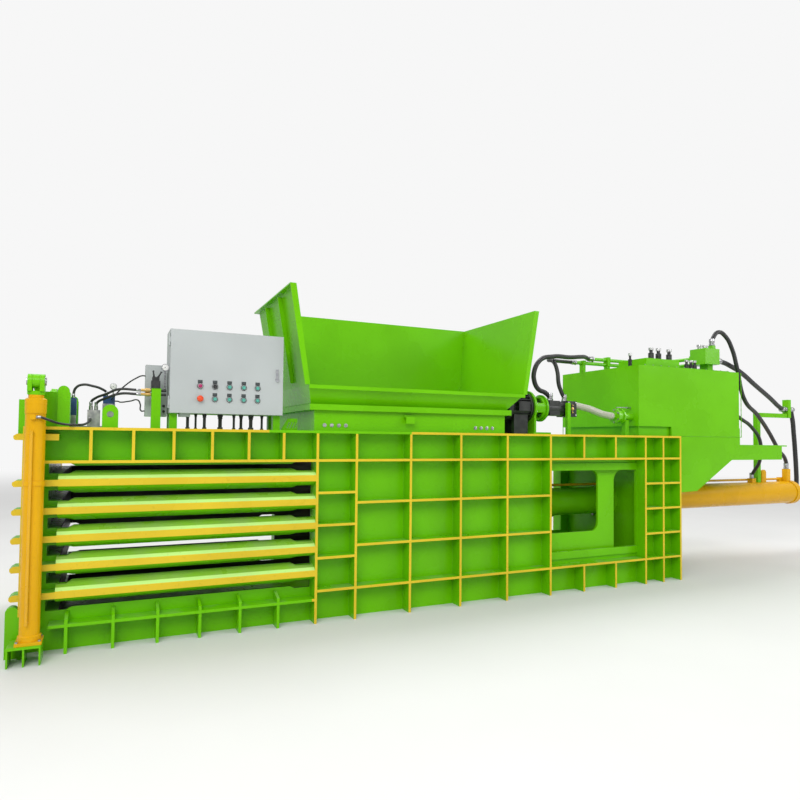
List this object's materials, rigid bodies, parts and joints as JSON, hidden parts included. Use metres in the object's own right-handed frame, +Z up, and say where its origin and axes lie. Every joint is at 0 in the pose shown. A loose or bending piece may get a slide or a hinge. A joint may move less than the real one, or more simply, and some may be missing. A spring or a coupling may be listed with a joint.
{
  "type": "recycling baler",
  "caption": "Horizontal closed-door hydraulic baler with feed hopper, lifting gate, slatted bale chamber, oil tank, pump set and control cabinet.",
  "frame": {"origin": "on the floor under the gate, midway between the two sides", "axes": "+X along the machine from the gate to the main cylinder, +Y from the operator's side to the rear side, +Z up"},
  "size_m": [9.093, 1.8, 2.7598],
  "materials": {
    "green_paint": "satin",
    "yellow_paint": "satin",
    "black_paint": "satin",
    "pale_paint": "satin",
    "bare_steel": "brushed",
    "black_rubber": "matte",
    "red_plastic": "gloss",
    "teal_plastic": "gloss"
  },
  "bodies": {
    "frame": {"floor_frame": "green_paint", "side_plates": "green_paint", "rib_grids": "green_paint", "wire_slats": "green_paint", "deck_plate": "green_paint", "chamber_roof": "green_paint", "fixed_blade": "bare_steel", "ram_guides": "bare_steel", "gate_frame": "green_paint", "cylinder_feet": "yellow_paint", "lift_barrels": "yellow_paint", "lift_glands": "yellow_paint", "lifting_lugs": "green_paint", "mount_plate": "green_paint", "main_barrel": "yellow_paint", "main_gland": "bare_steel", "flange_bolts": "bare_steel", "hopper_base": "green_paint", "hopper_funnel": "green_paint", "tank_body": "green_paint", "tank_lid": "green_paint", "tank_bracket": "green_paint", "valve_block": "green_paint", "relief_valves": "black_paint", "motor_housing": "black_paint", "bell_housing": "green_paint", "pump_body": "black_paint", "suction_pipe": "bare_steel", "oil_pipes": "yellow_paint", "oil_hoses": "black_rubber", "hose_mast": "green_paint", "cabinet_shell": "pale_paint", "cabinet_gear": "pale_paint", "deck_stands": "green_paint", "hand_valve": "black_paint", "terminal_box": "pale_paint", "gauges": "bare_steel", "gate_manifold": "bare_steel"},
    "gate": {"gate_plate": "green_paint", "lift_rods": "bare_steel", "rod_clevises": "yellow_paint", "clevis_pins": "bare_steel"},
    "ram": {"ram_body": "green_paint", "ram_blade": "bare_steel", "ram_rod": "bare_steel"},
    "door": {"cabinet_door": "pale_paint"},
    "lock": {"door_lock": "bare_steel"},
    "stop": {"stop_button": "red_plastic"},
    "selector": {"selector_knob": "black_paint"},
    "button_1": {"push_button_1": "teal_plastic"},
    "button_2": {"push_button_2": "teal_plastic"},
    "button_3": {"push_button_3": "teal_plastic"},
    "button_4": {"push_button_4": "teal_plastic"},
    "button_5": {"push_button_5": "teal_plastic"},
    "button_6": {"push_button_6": "teal_plastic"},
    "button_7": {"push_button_7": "teal_plastic"},
    "valve_lever_left": {"lever_left": "black_paint"},
    "valve_lever_right": {"lever_right": "black_paint"},
    "suction_lever": {"suction_handle": "bare_steel"},
    "rotor": {"motor_rotor": "bare_steel"}
  },
  "joints": [
    {"name": "gate_lift", "type": "slide", "parent": "frame", "child": "gate", "axis": [0, 0, 1], "range_m": [0, 1.2]},
    {"name": "ram_stroke", "type": "slide", "parent": "frame", "child": "ram", "axis": [-1, 0, 0], "range_m": [0, 2.75]},
    {"name": "door_hinge", "type": "hinge", "parent": "frame", "child": "door", "pos_m": [0.814, -0.613, 1.923], "axis": [0, 0, -1], "range_deg": [0, 105]},
    {"name": "lock_turn", "type": "hinge", "parent": "door", "child": "lock", "pos_m": [1.605, -0.64, 1.89], "axis": [0, 1, 0], "range_deg": [0, 90]},
    {"name": "stop_push", "type": "slide", "parent": "door", "child": "stop", "axis": [0, 1, 0], "range_m": [0, 0.005]},
    {"name": "selector_turn", "type": "hinge", "parent": "door", "child": "selector", "pos_m": [1.139, -0.64, 1.818], "axis": [0, 1, 0], "range_deg": [-45, 45]},
    {"name": "button_1_push", "type": "slide", "parent": "door", "child": "button_1", "axis": [0, 1, 0], "range_m": [0, 0.005], "stiffness_N_per_m": 300, "springref_m": -0.003},
    {"name": "button_2_push", "type": "slide", "parent": "door", "child": "button_2", "axis": [0, 1, 0], "range_m": [0, 0.005], "stiffness_N_per_m": 300, "springref_m": -0.003},
    {"name": "button_3_push", "type": "slide", "parent": "door", "child": "button_3", "axis": [0, 1, 0], "range_m": [0, 0.005], "stiffness_N_per_m": 300, "springref_m": -0.003},
    {"name": "button_4_push", "type": "slide", "parent": "door", "child": "button_4", "axis": [0, 1, 0], "range_m": [0, 0.005], "stiffness_N_per_m": 300, "springref_m": -0.003},
    {"name": "button_5_push", "type": "slide", "parent": "door", "child": "button_5", "axis": [0, 1, 0], "range_m": [0, 0.005], "stiffness_N_per_m": 300, "springref_m": -0.003},
    {"name": "button_6_push", "type": "slide", "parent": "door", "child": "button_6", "axis": [0, 1, 0], "range_m": [0, 0.005], "stiffness_N_per_m": 300, "springref_m": -0.003},
    {"name": "button_7_push", "type": "slide", "parent": "door", "child": "button_7", "axis": [0, 1, 0], "range_m": [0, 0.005], "stiffness_N_per_m": 300, "springref_m": -0.003},
    {"name": "lever_left_turn", "type": "hinge", "parent": "frame", "child": "valve_lever_left", "pos_m": [0.716, -0.575, 1.872], "axis": [0, 1, 0], "range_deg": [-18, 18], "stiffness_Nm_per_rad": 2},
    {"name": "lever_right_turn", "type": "hinge", "parent": "frame", "child": "valve_lever_right", "pos_m": [0.744, -0.575, 1.872], "axis": [0, 1, 0], "range_deg": [-18, 18], "stiffness_Nm_per_rad": 2},
    {"name": "suction_turn", "type": "hinge", "parent": "frame", "child": "suction_lever", "pos_m": [5.225, -0.5, 1.79], "axis": [0, 0, 1], "range_deg": [0, 90]},
    {"name": "rotor_spin", "type": "hinge", "parent": "frame", "child": "rotor", "pos_m": [4.05, -0.3, 1.765], "axis": [1, 0, 0], "continuous": true}
  ]
}
